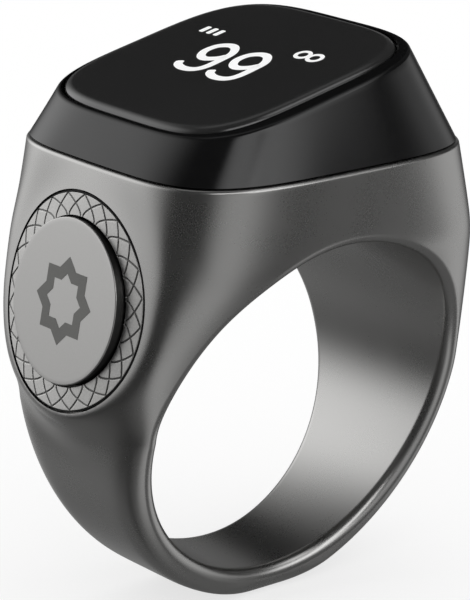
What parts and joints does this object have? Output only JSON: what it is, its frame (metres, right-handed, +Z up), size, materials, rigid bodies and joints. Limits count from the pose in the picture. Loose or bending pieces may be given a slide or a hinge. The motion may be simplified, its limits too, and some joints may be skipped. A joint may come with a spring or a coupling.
{
  "type": "digital tasbih counter ring",
  "caption": "Finger-worn digital tasbih counter: metal ring with a sloped black display head and a round sprung button set in an ornamented side face.",
  "frame": {"origin": "centre of the finger bore", "axes": "+Y along the finger bore, away from the pictured front; +Z up through the display head; the button faces -X"},
  "size_m": [0.0246, 0.0188, 0.0315],
  "materials": {
    "gunmetal": "satin anodised",
    "button_metal": "satin anodised",
    "black_gloss": "polished",
    "dark_lens": "tinted, polished",
    "adhesive": "clear film",
    "panel": "glass-faced panel",
    "flex": "polyimide",
    "component_black": "moulded",
    "bright_steel": "plain",
    "ceramic": "fired",
    "silicone": "matt",
    "carrier": "moulded",
    "cell_foil": "foil",
    "board": "solder mask",
    "heavy_alloy": "sintered",
    "gold": "plated"
  },
  "bodies": {
    "ring": {"ring_body": "gunmetal", "display_cap": "black_gloss", "display_lens": "dark_lens", "lens_adhesive": "adhesive", "optical_adhesive": "adhesive", "oled_panel": "panel", "oled_flex": "flex", "flex_connector": "component_black", "cap_seal": "silicone", "inner_carrier": "carrier", "battery_cell": "cell_foil", "battery_pads": "silicone", "battery_tabs": "bright_steel", "main_board": "board", "radio_chip": "component_black", "power_chip": "component_black", "crystal": "bright_steel", "chip_antenna": "ceramic", "capacitors": "ceramic", "motor_pad": "adhesive", "motor_base": "component_black", "motor_case": "bright_steel", "motor_shaft": "bright_steel", "ornament_ring": "gunmetal", "ring_gasket": "silicone", "switch_base": "component_black", "switch_dome": "bright_steel", "switch_flex": "flex", "charge_pins": "gold", "pin_bushes": "component_black", "charge_flex": "flex"},
    "button": {"button_cap": "button_metal"},
    "rotor": {"motor_rotor": "heavy_alloy"}
  },
  "joints": [
    {"name": "button_press", "type": "slide", "parent": "ring", "child": "button", "axis": [0.981, 0, -0.1942], "range_m": [0, 0.00025], "stiffness_N_per_m": 1000, "deforming": ["switch_dome"]},
    {"name": "rotor_spin", "type": "hinge", "parent": "ring", "child": "rotor", "pos_m": [0.004, 0.0038, 0.015], "axis": [0, 0, 1], "continuous": true}
  ]
}
